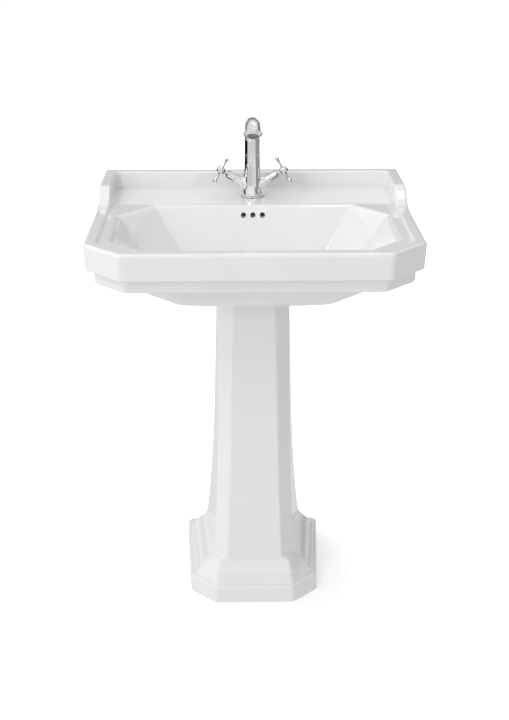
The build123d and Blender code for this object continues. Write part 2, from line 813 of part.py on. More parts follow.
# ======================================================================= tap
COLUMN_FRAME = Plane(origin=(0, COLUMN_Y, 0), x_dir=(1, 0, 0), z_dir=(0, -1, 0))
COLUMN_AXIS = Axis((0, COLUMN_Y, 0), (0, 0, 1))
BASE_Y = TAP_Y - 3.0
SEAL_TOP = DECK_TOP + 1.0


def arm_plane(side):
    """A plane at the foot of one side arm, with its normal along the arm."""
    return Plane(
        origin=(0, COLUMN_Y, ARM_FOOT_Z),
        x_dir=(0, 1, 0),
        z_dir=(side * cos(radians(ARM_RISE)), 0, sin(radians(ARM_RISE))),
    )


with BuildPart() as tap_body:
    with BuildSketch(COLUMN_FRAME):
        with BuildLine():
            Polyline((0, COLUMN_TOP), (0, RING_TOP), (20.8, RING_TOP), (20.8, RING_TOP + 1.5))
            Spline(
                (20.8, RING_TOP + 1.5),
                (18.6, RING_TOP + 14),
                (17.0, RING_TOP + 42),
                (COLUMN_R + 0.2, COLUMN_TOP - 2),
                tangents=[(-0.1, 1), (0, 1)],
            )
            Polyline((COLUMN_R + 0.2, COLUMN_TOP - 2), (COLUMN_R - 0.6, COLUMN_TOP), (0, COLUMN_TOP))
        make_face()
    revolve(axis=COLUMN_AXIS)
    # Side arms grow out of the column like the fork of a branch
    for side in (-1, 1):
        with Locations(arm_plane(side)):
            with Locations((0, 0, 4)):
                Cone(13.6, 8.7, ARM_END - 10, align=(Align.CENTER, Align.CENTER, Align.MIN))
            with Locations((0, 0, ARM_END - 7)):
                Cylinder(8.7, 7, align=(Align.CENTER, Align.CENTER, Align.MIN))
    fork = [
        e
        for e in tap_body.edges()
        if e.geom_type not in (GeomType.LINE, GeomType.CIRCLE) and 12 < abs((e @ 0.5).X) < 24 and e.length > 20
    ]
    fillet(fork, 5.5)
    # Locating spigot through the tap hole
    with Locations((0, BASE_Y, DECK_TOP - 14)):
        Cylinder(14, RING_TOP - DECK_TOP + 16, align=(Align.CENTER, Align.CENTER, Align.MIN))
    # Seat for the spout and the mixed-water way below it
    with Locations((0, COLUMN_Y, COLUMN_TOP)):
        Cylinder(COLUMN_BORE_R, 27, align=(Align.CENTER, Align.CENTER, Align.MAX), mode=Mode.SUBTRACT)
        Cylinder(8, 88, align=(Align.CENTER, Align.CENTER, Align.MAX), mode=Mode.SUBTRACT)
    for side in (-1, 1):
        with Locations(arm_plane(side)):
            with Locations((0, 0, 25)):
                Cylinder(6.4, 30, align=(Align.CENTER, Align.CENTER, Align.MIN), mode=Mode.SUBTRACT)
        with Locations((side * INLET_X, INLET_Y, DECK_TOP - 14)):
            Cylinder(INLET_R, 24, align=(Align.CENTER, Align.CENTER, Align.MIN), mode=Mode.SUBTRACT)
    with Locations((0, STUD_Y, DECK_TOP - 14)):
        Cylinder(STUD_R, 22, align=(Align.CENTER, Align.CENTER, Align.MIN), mode=Mode.SUBTRACT)
    with Locations((0, ROD_Y, DECK_TOP - 20)):
        Cylinder(ROD_R + 0.5, 80, align=(Align.CENTER, Align.CENTER, Align.MIN), mode=Mode.SUBTRACT)
save(tap_body, "tap_body")

with BuildPart() as tap_base_ring:
    add(
        turned(
            [
                (14.2, SEAL_TOP),
                (26.0, SEAL_TOP),
                (26.3, SEAL_TOP + 1.2),
                (25.4, SEAL_TOP + 2.2),
                (23.6, SEAL_TOP + 2.4),
                (22.6, RING_TOP),
                (14.2, RING_TOP),
            ],
            BASE_Y,
        )
    )
    with Locations((0, ROD_Y, DECK_TOP)):
        Cylinder(ROD_R + 0.5, 20, mode=Mode.SUBTRACT)
save(tap_base_ring, "tap_base_ring")
save_solid(ring(20.8, 25.4, DECK_TOP, SEAL_TOP, BASE_Y), "tap_base_seal")

# Fixing: one stud, a horseshoe rubber washer, a metal plate and a nut under the deck
with BuildPart() as fixing_stud:
    with Locations((0, STUD_Y, DECK_UNDER - 40)):
        Cylinder(STUD_R - 0.05, DECK_TOP + 6 - DECK_UNDER + 40, align=(Align.CENTER, Align.CENTER, Align.MIN))
    chamfer(fixing_stud.edges(), 0.6)
save(fixing_stud, "fixing_stud")


def horseshoe(low, thick):
    """A horseshoe washer with its mouth to the rear, for the inlets and the lift rod."""
    with BuildPart() as shoe:
        with BuildSketch(Plane.XY.offset(low)):
            with Locations((0, TAP_Y)):
                Circle(27)
            with Locations((0, STUD_Y)):
                Circle(STUD_CLEAR_R, mode=Mode.SUBTRACT)
            with Locations((0, TAP_Y + 15.5)):
                Rectangle(25, 40, mode=Mode.SUBTRACT)
        extrude(amount=thick)
    return shoe.part


save_solid(horseshoe(DECK_UNDER - 3, 3), "fixing_washer")
save_solid(horseshoe(DECK_UNDER - 5, 2), "fixing_plate")
with BuildPart() as fixing_nut:
    with BuildSketch(Plane.XY.offset(DECK_UNDER - 10.5)):
        with Locations((0, STUD_Y)):
            RegularPolygon(5.6, 6)
            Circle(STUD_R, mode=Mode.SUBTRACT)
    extrude(amount=5.5)
save(fixing_nut, "fixing_nut")

# Spout: up, forwards with a slight rise, then down to a tilted outlet
SPOUT_FOOT_Z = COLUMN_TOP + SPOUT_SEAM
with BuildLine(Plane.YZ) as spout_line:
    rear_bend = JernArc((COLUMN_Y, SPOUT_FOOT_Z), (0, 1), REAR_BEND_R, REAR_BEND)
    run = Line(rear_bend @ 1, rear_bend @ 1 + (rear_bend % 1) * SPOUT_RUN)
    turn_start = run @ 1
    turn_way = run % 1
    front_bend = JernArc((turn_start.Y, turn_start.Z), (turn_way.Y, turn_way.Z), FRONT_BEND_R, FRONT_BEND)
OUTLET = front_bend @ 1
OUTLET_WAY = front_bend % 1
outlet_frame = Plane(origin=OUTLET, x_dir=(1, 0, 0), z_dir=OUTLET_WAY)

with BuildPart() as spout:
    with BuildSketch(Plane.XY.offset(SPOUT_FOOT_Z)):
        with Locations((0, COLUMN_Y)):
            Circle(SPOUT_R)
    sweep(path=spout_line.wire())
    foot = spout.edges().filter_by(GeomType.CIRCLE).group_by(Axis.Z)[0]
    chamfer(foot, 0.8)
    with Locations((0, COLUMN_Y, SPOUT_FOOT_Z + 2)):
        Cylinder(SPIGOT_R, 27, align=(Align.CENTER, Align.CENTER, Align.MAX))
    with BuildSketch(Plane.XY.offset(SPOUT_FOOT_Z)):
        with Locations((0, COLUMN_Y)):
            Circle(SPOUT_BORE_R - 2)
    sweep(path=spout_line.wire(), mode=Mode.SUBTRACT)
    with Locations((0, COLUMN_Y, SPOUT_FOOT_Z)):
        Cylinder(SPOUT_BORE_R - 2, 34, align=(Align.CENTER, Align.CENTER, Align.MAX), mode=Mode.SUBTRACT)
    for height in (COLUMN_TOP - 8, COLUMN_TOP - 17):
        add(ring(SPIGOT_R - 1.6, SPIGOT_R + 1, height - 1.1, height + 1.1, COLUMN_Y), mode=Mode.SUBTRACT)
save(spout, "spout")

with BuildPart() as spout_seals:
    for height in (COLUMN_TOP - 8, COLUMN_TOP - 17):
        with Locations((0, COLUMN_Y, height)):
            Torus(SPIGOT_R - 0.8, 0.75)
save(spout_seals, "spout_seals")

save_solid(
    turned_along(
        [
            (13.0, 0),
            (17.2, 0),
            (18.2, 0.8),
            (19.4, 1.6),
            (20.0, 2.8),
            (20.0, 4.2),
            (19.4, 5.4),
            (18.0, 6.4),
            (16.6, 7.0),
            (16.0, 8.6),
            (15.0, 9.4),
            (13.0, 9.4),
        ],
        outlet_frame,
    ),
    "outlet_collar",
)

with BuildPart() as aerator:
    with BuildSketch(outlet_frame.offset(1)):
        Circle(12.9)
        with Locations((0, 0)):
            Circle(1.1, mode=Mode.SUBTRACT)
        with PolarLocations(4.2, 6):
            Circle(1.1, mode=Mode.SUBTRACT)
        with PolarLocations(8.2, 12):
            Circle(1.1, mode=Mode.SUBTRACT)
    extrude(amount=5.5)
    with BuildSketch(outlet_frame.offset(6.5)):
        Circle(12.9)
        Circle(10.8, mode=Mode.SUBTRACT)
    extrude(amount=1.8)
save(aerator, "aerator")

# ============================================================ valves, handles
SPOKE_PROFILE = [
    (0, 3),
    (3.4, 3),
    (3.1, HUB_R + 0.5),
    (2.3, HUB_R + 4.0),
    (2.6, SPOKE_REACH - 9),
    (3.4, SPOKE_REACH - 5.5),
    (3.6, SPOKE_REACH - 4.6),
    (2.9, SPOKE_REACH - 4.0),
    (4.2, SPOKE_REACH - 2.0),
    (4.7, SPOKE_REACH + 0.6),
    (4.1, SPOKE_REACH + 3.0),
    (2.4, SPOKE_REACH + 4.6),
    (0, SPOKE_REACH + 5.0),
]
HUB_PROFILE = [
    (0, HUB_AT - 15),
    (5.2, HUB_AT - 15),
    (4.4, HUB_AT - 10),
    (5.0, HUB_AT - 8),
    (7.0, HUB_AT - 6),
    (HUB_R, HUB_AT - 2),
    (HUB_R, HUB_AT + 2),
    (7.0, HUB_AT + 5),
    (5.8, HUB_AT + 6.5),
    (0, HUB_AT + 6.5),
]


def make_bonnet(frame):
    """The turned shroud between the arm and the handle."""
    return turned_along(
        [
            (5.6, ARM_END),
            (8.9, ARM_END),
            (9.1, ARM_END + 1.0),
            (8.9, ARM_END + 2.0),
            (8.1, ARM_END + 2.6),
            (8.1, BONNET_END - 3.4),
            (8.7, BONNET_END - 2.8),
            (8.7, BONNET_END - 1.2),
            (7.4, BONNET_END),
            (5.6, BONNET_END),
        ],
        frame,
    )


def make_cartridge(frame):
    """Quarter-turn ceramic-disc valve, seated in the arm, with a bore for its spindle."""
    return turned_along(
        [
            (0, 25.2),
            (6.3, 25.2),
            (6.3, ARM_END - 0.1),
            (5.5, ARM_END - 0.1),
            (5.5, BONNET_END - 2),
            (2.65, BONNET_END - 2),
            (2.65, 48),
            (0, 48),
        ],
        frame,
    )


def make_handle(frame):
    """Cross handle: a turned hub with four vase-shaped spokes, bored for spindle and screw."""
    with BuildPart() as handle:
        add(turned_along(HUB_PROFILE, frame))
        for turn in range(4):
            spoke_frame = Plane(
                origin=frame.offset(HUB_AT).origin,
                x_dir=frame.z_dir,
                z_dir=frame.x_dir.rotate(Axis((0, 0, 0), frame.z_dir), 90 * turn),
            )
            add(turned_along(SPOKE_PROFILE, spoke_frame))
        add(turned_along([(0, HUB_AT - 16), (2.6, HUB_AT - 16), (2.6, HUB_AT), (0, HUB_AT)], frame),
            mode=Mode.SUBTRACT)
        add(turned_along([(0, HUB_AT - 1), (1.4, HUB_AT - 1), (1.4, HUB_AT + 8), (0, HUB_AT + 8)], frame),
            mode=Mode.SUBTRACT)
        add(turned_along([(0, HUB_AT + 3), (3.2, HUB_AT + 3), (3.2, HUB_AT + 8), (0, HUB_AT + 8)], frame),
            mode=Mode.SUBTRACT)
    return handle.part


def make_handle_screw(frame):
    """The screw that holds the handle on its spindle."""
    with BuildPart() as screw:
        add(
            turned_along(
                [(0, HUB_AT + 0.2), (1.3, HUB_AT + 0.2), (1.3, HUB_AT + 3), (2.9, HUB_AT + 3),
                 (2.9, HUB_AT + 5), (0, HUB_AT + 5)],
                frame,
            )
        )
        with Locations(frame.offset(HUB_AT + 4.4)):
            Box(0.8, 6.4, 1.4, align=(Align.CENTER, Align.CENTER, Align.MIN), mode=Mode.SUBTRACT)
    return screw.part


def make_cap(frame):
    """Domed index cap that closes the hub."""
    return turned_along(
        [
            (0, HUB_AT + 6.6),
            (5.7, HUB_AT + 6.6),
            (5.4, HUB_AT + 7.6),
            (4.2, HUB_AT + 8.9),
            (2.2, HUB_AT + 9.7),
            (0, HUB_AT + 9.9),
        ],
        frame,
    )


for side, water in ((-1, "hot"), (1, "cold")):
    frame = arm_plane(side)
    save_solid(make_bonnet(frame), f"{water}_bonnet")
    save_solid(make_cartridge(frame), f"{water}_cartridge")
    save_solid(
        turned_along([(0, 48.3), (2.55, 48.3), (2.55, HUB_AT - 0.2), (0, HUB_AT - 0.2)], frame),
        f"{water}_spindle",
    )
    save_solid(make_handle(frame), f"{water}_handle")
    save_solid(make_handle_screw(frame), f"{water}_handle_screw")
    save_solid(make_cap(frame), f"{water}_cap")
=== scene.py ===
"""Glazed pedestal sink with a cross-handle mixer, dressed for a studio picture."""

import json
from math import pi, radians

import bpy
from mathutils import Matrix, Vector


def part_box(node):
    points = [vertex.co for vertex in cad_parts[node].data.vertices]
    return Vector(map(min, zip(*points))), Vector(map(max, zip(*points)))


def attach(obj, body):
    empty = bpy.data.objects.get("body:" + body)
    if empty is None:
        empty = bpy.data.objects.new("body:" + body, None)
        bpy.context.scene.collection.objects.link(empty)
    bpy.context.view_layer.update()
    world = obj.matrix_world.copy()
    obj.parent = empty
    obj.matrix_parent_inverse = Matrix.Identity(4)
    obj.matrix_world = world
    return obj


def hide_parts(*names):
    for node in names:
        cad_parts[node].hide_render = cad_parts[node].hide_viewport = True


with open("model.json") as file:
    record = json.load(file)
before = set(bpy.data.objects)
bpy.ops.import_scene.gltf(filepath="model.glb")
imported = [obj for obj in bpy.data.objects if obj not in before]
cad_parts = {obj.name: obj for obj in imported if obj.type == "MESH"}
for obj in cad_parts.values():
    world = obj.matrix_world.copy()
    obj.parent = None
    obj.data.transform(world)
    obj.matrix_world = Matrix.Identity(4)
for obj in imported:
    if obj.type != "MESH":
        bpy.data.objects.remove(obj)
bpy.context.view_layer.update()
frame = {"nodes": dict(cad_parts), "record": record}

bl_info = {
    "name": "Pedestal sink",
    "version": (1, 0, 0),
    "blender": (4, 5, 0),
    "location": "View3D > Sidebar > Sink",
    "description": "Finishes, turned details, studio and camera for a pedestal sink",
    "category": "Object",
}

LOW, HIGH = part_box("basin")
BASIN_FRONT = LOW[1]
BASIN_BACK = HIGH[1]
TAP_LOW, TAP_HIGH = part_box("tap_body")
TAP_CENTRE = [(a + b) / 2 for a, b in zip(TAP_LOW, TAP_HIGH)]

# Bare clay: where it starts on the pedestal, in metres along Y, and how it looks
PEDESTAL_BARE_FROM = 0.199
CLAY_DARK = (0.62, 0.60, 0.56)
CLAY_LIGHT = (0.72, 0.70, 0.66)
CLAY_ROUGHNESS = (0.85, 0.85, 0.85)

# Threads, in metres
STUD_PITCH = 0.001
WASTE_PITCH = 0.0023
WASTE_THREAD_LENGTH = 0.015

# The room's brightness by bearing and overhead, for soft light and for mirror-like surfaces
SOFT_WALLS = [(0.0, 0.86), (0.2, 1.0), (0.5, 0.6), (0.66, 0.06), (0.85, 0.08), (1.0, 0.86)]
SOFT_CEILING = (0.57, 0.57, 0.57)
MIRROR_WALLS = [
    (0.0, 0.95), (0.24, 0.9), (0.31, 0.6), (0.37, 0.32),
    (0.6, 0.28), (0.66, 0.2), (0.88, 0.32), (0.95, 0.95),
]
MIRROR_CEILING = (0.85, 0.85, 0.85)

# Heights of the foot and the top of the cards round the tap, in metres
CARD_FOOT = 0.853
CARD_TOP = 0.99


# ------------------------------------------------------------------ settings
class SinkFinish(bpy.types.PropertyGroup):
    """Colours and gloss of the sink's own materials."""

    china: bpy.props.FloatVectorProperty(
        name="China", description="Colour of the glazed body", subtype="COLOR", size=3,
        default=(0.87, 0.87, 0.866), min=0, max=1,
    )
    glaze_roughness: bpy.props.FloatProperty(
        name="Glaze roughness", description="How soft the glaze's reflections are",
        subtype="FACTOR", default=0.06, min=0, max=1,
    )
    chrome: bpy.props.FloatVectorProperty(
        name="Chrome", description="Colour of the polished plate", subtype="COLOR", size=3,
        default=(0.85, 0.855, 0.86), min=0, max=1,
    )


class SinkStudio(bpy.types.PropertyGroup):
    """Camera and light of the studio picture."""

    lens: bpy.props.FloatProperty(
        name="Lens", description="Focal length of the camera", subtype="DISTANCE_CAMERA",
        default=59.0,
    )
    distance: bpy.props.FloatProperty(
        name="Distance", description="Camera to the front of the basin", unit="LENGTH",
        default=2.064,
    )
    height: bpy.props.FloatProperty(
        name="Height", description="Camera above the floor", unit="LENGTH", default=1.487,
    )
    sideways: bpy.props.FloatProperty(
        name="Sideways", description="Camera off the centre line", unit="LENGTH", default=-0.039,
    )
    tilt: bpy.props.FloatProperty(
        name="Tilt", description="How far the camera looks down", subtype="ANGLE",
        default=radians(22.14),
    )
    pan: bpy.props.FloatProperty(
        name="Pan", description="How far the camera looks to the right", subtype="ANGLE",
        default=radians(1.0),
    )
    world_light: bpy.props.FloatProperty(
        name="Room light", description="Strength of the even studio light", default=1.4, min=0,
    )
    key_light: bpy.props.FloatProperty(
        name="Key light", description="Power of the large soft light", unit="POWER",
        default=9.0, min=0,
    )


# ----------------------------------------------------------------- materials
def new_material(name):
    """A node material with one Principled shader, and its node tree."""
    material = bpy.data.materials.new(name)
    material.use_nodes = True
    tree = material.node_tree
    return material, tree, tree.nodes["Principled BSDF"]


def object_coordinates(tree):
    """The output that gives places on the piece in metres."""
    return tree.nodes.new("ShaderNodeTexCoord").outputs["Object"]


def noise(tree, coordinates, scale, detail=2.0, roughness=0.5):
    """Fractal noise at a scale given in patches a metre."""
    node = tree.nodes.new("ShaderNodeTexNoise")
    node.inputs["Scale"].default_value = scale
    node.inputs["Detail"].default_value = detail
    node.inputs["Roughness"].default_value = roughness
    tree.links.new(coordinates, node.inputs["Vector"])
    return node.outputs["Fac"]


def ramp(tree, factor, stops):
    """A colour ramp with (place, grey or colour) stops."""
    node = tree.nodes.new("ShaderNodeValToRGB")
    elements = node.color_ramp.elements
    while len(elements) < len(stops):
        elements.new(0.5)
    for element, (place, colour) in zip(elements, stops):
        element.position = place
        grey = isinstance(colour, (int, float))
        element.color = (colour, colour, colour, 1) if grey else (*colour, 1)
    tree.links.new(factor, node.inputs["Fac"])
    return node.outputs["Color"]


def bump(tree, height, strength, distance, normal=None):
    """A bump of a given depth in metres."""
    node = tree.nodes.new("ShaderNodeBump")
    node.inputs["Strength"].default_value = strength
    node.inputs["Distance"].default_value = distance
    tree.links.new(height, node.inputs["Height"])
    if normal is not None:
        tree.links.new(normal, node.inputs["Normal"])
    return node.outputs["Normal"]


def tinted(colour, amount):
    """A colour made lighter or darker by a small amount."""
    return tuple(min(1.0, max(0.0, c * (1 + amount))) for c in colour)


def mix_colour(tree, factor, first, second):
    """Two colours, or colour outputs, mixed by a factor."""
    node = tree.nodes.new("ShaderNodeMix")
    node.data_type = "RGBA"
    tree.links.new(factor, node.inputs["Factor"])
    for value, socket in ((first, node.inputs["A"]), (second, node.inputs["B"])):
        if isinstance(value, bpy.types.NodeSocket):
            tree.links.new(value, socket)
        else:
            socket.default_value = (*value, 1)
    return node.outputs["Result"]


def step_along(tree, coordinates, axis, edge, soft):
    """A factor that goes from 0 to 1 as a coordinate passes an edge."""
    split = tree.nodes.new("ShaderNodeSeparateXYZ")
    tree.links.new(coordinates, split.inputs["Vector"])
    node = tree.nodes.new("ShaderNodeMapRange")
    node.inputs["From Min"].default_value = edge
    node.inputs["From Max"].default_value = edge + soft
    tree.links.new(split.outputs[axis], node.inputs["Value"])
    return node.outputs["Result"]


def glazed_china(name, colour, roughness, bare_axis, bare_edge, bare_soft):
    """White glaze over clay: faint pooling, fine ripple, and bare clay past one edge."""
    material, tree, shader = new_material(name)
    places = object_coordinates(tree)
    pools = noise(tree, places, 9, 3)
    pooling = ramp(tree, pools, [(0.3, tinted(colour, -0.012)), (0.7, tinted(colour, 0.012))])
    specks = ramp(tree, noise(tree, places, 900, 1), [(0.74, 0.0), (0.78, 1.0)])
    glaze = mix_colour(tree, specks, pooling, tinted(colour, -0.03))
    bare = step_along(tree, places, bare_axis, bare_edge, bare_soft)
    clay_grain = noise(tree, places, 260, 4, 0.7)
    clay = ramp(tree, clay_grain, [(0.3, CLAY_DARK), (0.7, CLAY_LIGHT)])
    tree.links.new(mix_colour(tree, bare, glaze, clay), shader.inputs["Base Color"])
    wiped = noise(tree, places, 14, 4, 0.6)
    smudges = ramp(tree, wiped, [(0.35, roughness), (0.75, roughness * 1.9)])
    rough = mix_colour(tree, bare, smudges, CLAY_ROUGHNESS)
    tree.links.new(rough, shader.inputs["Roughness"])
    ripple = bump(tree, noise(tree, places, 22, 2), 0.35, 0.0004)
    grain = bump(tree, noise(tree, places, 420, 2), 0.06, 0.00008, ripple)
    tree.links.new(grain, shader.inputs["Normal"])
    shader.inputs["IOR"].default_value = 1.52
    shader.inputs["Coat Weight"].default_value = 0.5
    shader.inputs["Coat Roughness"].default_value = 0.03
    return material


def polished_chrome(name, colour):
    """Bright plate with a trace of wiping marks and a faint casting ripple."""
    material, tree, shader = new_material(name)
    places = object_coordinates(tree)
    wipe = noise(tree, places, 160, 4, 0.6)
    tree.links.new(ramp(tree, wipe, [(0.35, 0.035), (0.8, 0.09)]), shader.inputs["Roughness"])
    tone = ramp(tree, noise(tree, places, 35, 2), [(0.3, tinted(colour, -0.02)), (0.7, colour)])
    tree.links.new(tone, shader.inputs["Base Color"])
    ripple = bump(tree, noise(tree, places, 45, 1), 0.04, 0.0001)
    tree.links.new(ripple, shader.inputs["Normal"])
    shader.inputs["Metallic"].default_value = 1.0
    return material


def turned_metal(name, colour, roughness, pitch):
    """Machined metal with fine lathe or drawing lines along its height."""
    material, tree, shader = new_material(name)
    places = object_coordinates(tree)
    lines = tree.nodes.new("ShaderNodeTexWave")
    lines.bands_direction = "Z"
    lines.inputs["Scale"].default_value = pitch
    lines.inputs["Distortion"].default_value = 1.5
    lines.inputs["Detail"].default_value = 2.0
    tree.links.new(places, lines.inputs["Vector"])
    stain = noise(tree, places, 70, 5, 0.6)
    tone = ramp(tree, stain, [(0.3, tinted(colour, -0.16)), (0.7, tinted(colour, 0.05))])
    tree.links.new(tone, shader.inputs["Base Color"])
    rough = ramp(tree, stain, [(0.3, roughness * 1.4), (0.7, roughness * 0.8)])
    tree.links.new(rough, shader.inputs["Roughness"])
    tree.links.new(bump(tree, lines.outputs["Fac"], 0.15, 0.00006), shader.inputs["Normal"])
    shader.inputs["Metallic"].default_value = 1.0
    return material


def moulded(name, colour, roughness, grain, depth):
    """Moulded plastic or rubber with a fine skin and slightly uneven tone."""
    material, tree, shader = new_material(name)
    places = object_coordinates(tree)
    patches = noise(tree, places, 40, 3)
    tone = ramp(tree, patches, [(0.3, tinted(colour, -0.06)), (0.7, tinted(colour, 0.03))])
    tree.links.new(tone, shader.inputs["Base Color"])
    skin = noise(tree, places, grain, 3, 0.6)
    rough = ramp(tree, skin, [(0.3, roughness * 0.85), (0.7, min(1.0, roughness * 1.15))])
    tree.links.new(rough, shader.inputs["Roughness"])
    tree.links.new(bump(tree, skin, 0.3, depth), shader.inputs["Normal"])
    return material


def dress(node_names, material):
    """Give one material to a list of CAD nodes."""
    for name in node_names:
        slots = frame["nodes"][name].data.materials
        slots.clear()
        slots.append(material)


def nodes_of(slot):
    """Names of the nodes that take their finish from a material slot of the record."""
    return [part["node"] for part in frame["record"]["subparts"] if part["material_slot"] == slot]


# ----------------------------------------------------------------- operators
class SINK_OT_china(bpy.types.Operator):
    """Glaze the basin and the pedestal, and leave their hidden faces as bare clay"""

    bl_idname = "sink.china"
    bl_label = "Glaze the china"

    def execute(self, context):
        finish = context.scene.sink_finish
        for node, bare_from, fade in (
            ("basin", BASIN_BACK - 0.0006, 0.0004),
            ("pedestal", PEDESTAL_BARE_FROM, 0.0008),
        ):
            glaze = glazed_china(
                node + " glaze", tuple(finish.china), finish.glaze_roughness, "Y", bare_from, fade
            )
            dress([node], glaze)
        return {"FINISHED"}


class SINK_OT_tap_finish(bpy.types.Operator):
    """Plate the tap, the waste's visible ring and the plug"""

    bl_idname = "sink.tap_finish"
    bl_label = "Plate the tap"

    def execute(self, context):
        chrome = polished_chrome("chrome plate", tuple(context.scene.sink_finish.chrome))
        dress(nodes_of("chrome"), chrome)
        return {"FINISHED"}


def start_alone():
    """Nothing selected and object mode, ready for a new primitive."""
    if bpy.context.object and bpy.context.object.mode != "OBJECT":
        bpy.ops.object.mode_set(mode="OBJECT")
    bpy.ops.object.select_all(action="DESELECT")


def helical_thread(name, centre, radius, pitch, low, high):
    """A four-sided ridge wound up a rod at (x, y), with its crest at the given radius."""
    start_alone()
    half = pitch * 0.42
    turns = int((high - low - 2 * half) / pitch)
    bpy.ops.mesh.primitive_circle_add(
        vertices=4, radius=half, fill_type="NGON", rotation=(pi / 2, 0, 0)
    )
    thread = bpy.context.object
    thread.name = name
    thread.location = (radius - half, 0, low + half)
    bpy.ops.object.transform_apply(location=True, rotation=True, scale=True)
    bpy.ops.object.mode_set(mode="EDIT")
    bpy.ops.mesh.select_all(action="SELECT")
    bpy.ops.mesh.delete(type="ONLY_FACE")
    bpy.ops.object.mode_set(mode="OBJECT")
    winding = thread.modifiers.new("winding", "SCREW")
    winding.axis = "Z"
    winding.screw_offset = pitch
    winding.iterations = turns
    winding.steps = 36
    winding.render_steps = 36
    bpy.ops.object.modifier_apply(modifier="winding")
    bpy.ops.object.mode_set(mode="EDIT")
    bpy.ops.mesh.select_all(action="DESELECT")
    bpy.ops.mesh.select_mode(type="EDGE")
    bpy.ops.mesh.select_non_manifold(extend=False)
    bpy.ops.mesh.fill()
    bpy.ops.mesh.select_all(action="SELECT")
    bpy.ops.mesh.normals_make_consistent(inside=False)
    bpy.ops.object.mode_set(mode="OBJECT")
    thread.location = (centre[0], centre[1], 0)
    bpy.ops.object.transform_apply(location=True, rotation=False, scale=False)
    return thread


class SINK_OT_threads(bpy.types.Operator):
    """Cut the threads of the tap's fixing stud and of the waste's tail"""

    bl_idname = "sink.threads"
    bl_label = "Cut the threads"

    def execute(self, context):
        self.fixing_stud(context)
        body_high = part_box("waste_body")[1]
        nut_low, nut_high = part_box("waste_locknut")
        centre = [(a + b) / 2 for a, b in zip(nut_low, nut_high)]
        crest = body_high[0] + 0.0004
        top = nut_low[2] - 0.0005
        foot = top - WASTE_THREAD_LENGTH
        tail = helical_thread("waste_thread", centre, crest, WASTE_PITCH, foot, top)
        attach(tail, "sink")
        tail.data.materials.append(bpy.data.materials["turned brass"])
        return {"FINISHED"}

    def fixing_stud(self, context):
        """A rod with bevelled ends and a metric thread, in place of the plain stud."""
        low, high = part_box("fixing_stud")
        centre = [(a + b) / 2 for a, b in zip(low, high)]
        radius = (high[0] - low[0]) / 2
        root = radius - STUD_PITCH * 0.6
        start_alone()
        bpy.ops.mesh.primitive_cylinder_add(
            vertices=36, radius=root, depth=high[2] - low[2], location=centre
        )
        stud = context.object
        stud.name = "threaded_stud"
        bpy.ops.object.transform_apply(location=True, rotation=True, scale=True)
        bevel = stud.modifiers.new("ends", "BEVEL")
        bevel.width = 0.0005
        bevel.segments = 2
        bevel.limit_method = "ANGLE"
        bevel.angle_limit = radians(60)
        bpy.ops.object.modifier_apply(modifier="ends")
        thread = helical_thread(
            "stud_thread", centre, radius, STUD_PITCH, low[2] + 0.0005, high[2] - 0.0005
        )
        start_alone()
        thread.select_set(True)
        stud.select_set(True)
        context.view_layer.objects.active = stud
        bpy.ops.object.join()
        stud.data.materials.clear()
        stud.data.materials.append(bpy.data.materials["bright steel"])
        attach(stud, "sink")
        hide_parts("fixing_stud")


class SINK_OT_plumbing_finish(bpy.types.Operator):
    """Finish the brass, steel, rubber and plastic pieces under the basin"""

    bl_idname = "sink.plumbing_finish"
    bl_label = "Finish the plumbing"

    def execute(self, context):
        for slot, name, colour, roughness, pitch in (
            ("brass", "turned brass", (0.72, 0.55, 0.30), 0.28, 900),
            ("steel", "bright steel", (0.62, 0.62, 0.63), 0.25, 1400),
        ):
            dress(nodes_of(slot), turned_metal(name, colour, roughness, pitch))
        for slot, name, colour, roughness, grain, depth in (
            ("rubber", "black rubber", (0.025, 0.025, 0.027), 0.7, 1800, 0.00006),
            ("white_plastic", "white plastic", (0.80, 0.80, 0.78), 0.3, 900, 0.00003),
            ("grey_plastic", "grey plastic", (0.30, 0.31, 0.32), 0.5, 1500, 0.00004),
        ):
            dress(nodes_of(slot), moulded(name, colour, roughness, grain, depth))
        return {"FINISHED"}


def bearing_ramp(tree, direction, stops):
    """A grey for each bearing: 0 and 1 in front of the sink, 0.25 left, 0.5 behind, 0.75 right."""
    split = tree.nodes.new("ShaderNodeSeparateXYZ")
    tree.links.new(direction, split.inputs["Vector"])
    bearing = tree.nodes.new("ShaderNodeMath")
    bearing.operation = "ARCTAN2"
    tree.links.new(split.outputs["X"], bearing.inputs[0])
    tree.links.new(split.outputs["Y"], bearing.inputs[1])
    around = tree.nodes.new("ShaderNodeMapRange")
    around.inputs["From Min"].default_value = -pi
    around.inputs["From Max"].default_value = pi
    tree.links.new(bearing.outputs[0], around.inputs["Value"])
    return ramp(tree, around.outputs["Result"], stops)


